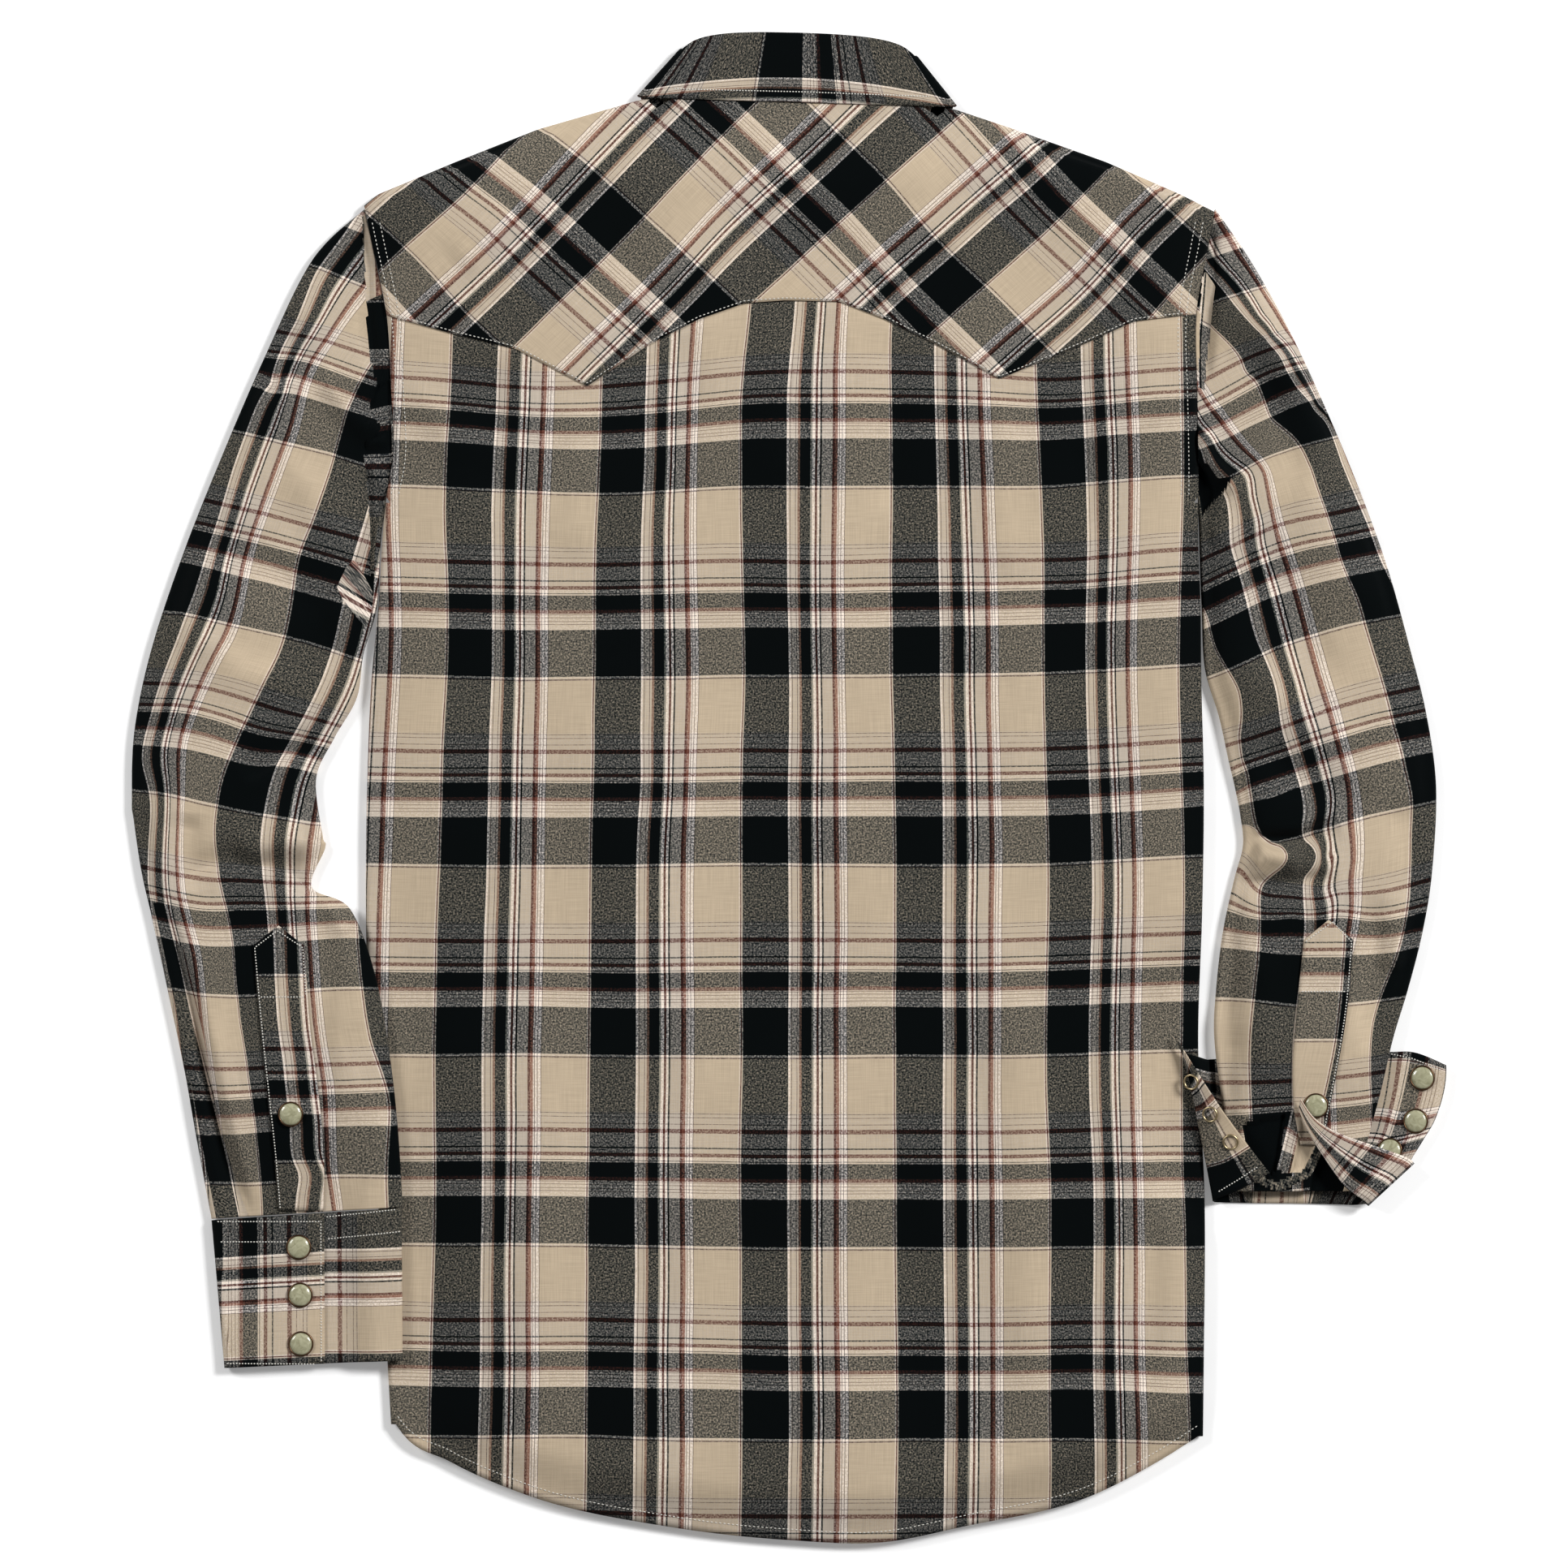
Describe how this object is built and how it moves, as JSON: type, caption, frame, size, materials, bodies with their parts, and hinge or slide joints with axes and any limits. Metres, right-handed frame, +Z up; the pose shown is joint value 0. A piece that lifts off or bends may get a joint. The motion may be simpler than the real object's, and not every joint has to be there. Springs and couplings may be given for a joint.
{
  "type": "long sleeved western snap shirt",
  "caption": "Plaid western snap shirt laid flat on its front, with pointed back yoke, folded collar, long sleeves, one closed cuff and one turned back.",
  "frame": {"origin": "middle of the bounding box at its base, on the surface that the shirt lies on", "axes": "+Z up from the surface, out of the shirt's back; +Y from the hem to the collar; +X to the wearer's right"},
  "size_m": [0.7122, 0.8181, 0.0183],
  "materials": {
    "plaid_cloth": "matte brushed cotton in a tan, black, cream and maroon plaid",
    "snap_cap": "pearl cap with a thin dark rim",
    "snap_socket": "dull antique brass"
  },
  "bodies": {
    "root": {"back": "plaid_cloth", "back_yoke": "plaid_cloth", "collar_fall": "plaid_cloth", "collar_stand": "plaid_cloth", "left_front": "plaid_cloth", "right_front": "plaid_cloth", "left_sleeve": "plaid_cloth", "right_sleeve": "plaid_cloth", "left_cuff": "plaid_cloth", "right_cuff": "plaid_cloth", "left_sleeve_placket": "plaid_cloth", "right_sleeve_placket": "plaid_cloth", "front_snap_1": "snap_cap", "front_snap_2": "snap_cap", "front_snap_3": "snap_cap", "front_snap_4": "snap_cap", "front_snap_5": "snap_cap", "front_snap_6": "snap_cap", "front_snap_7": "snap_cap", "front_snap_8": "snap_cap", "left_cuff_snap_1": "snap_cap", "left_cuff_snap_2": "snap_cap", "left_cuff_snap_3": "snap_cap", "left_placket_snap": "snap_cap", "right_placket_snap": "snap_cap", "right_cuff_snap_1": "snap_cap", "right_cuff_snap_2": "snap_cap", "right_cuff_snap_3": "snap_cap", "right_cuff_socket_1": "snap_socket", "right_cuff_socket_2": "snap_socket", "right_cuff_socket_3": "snap_socket"}
  },
  "joints": []
}
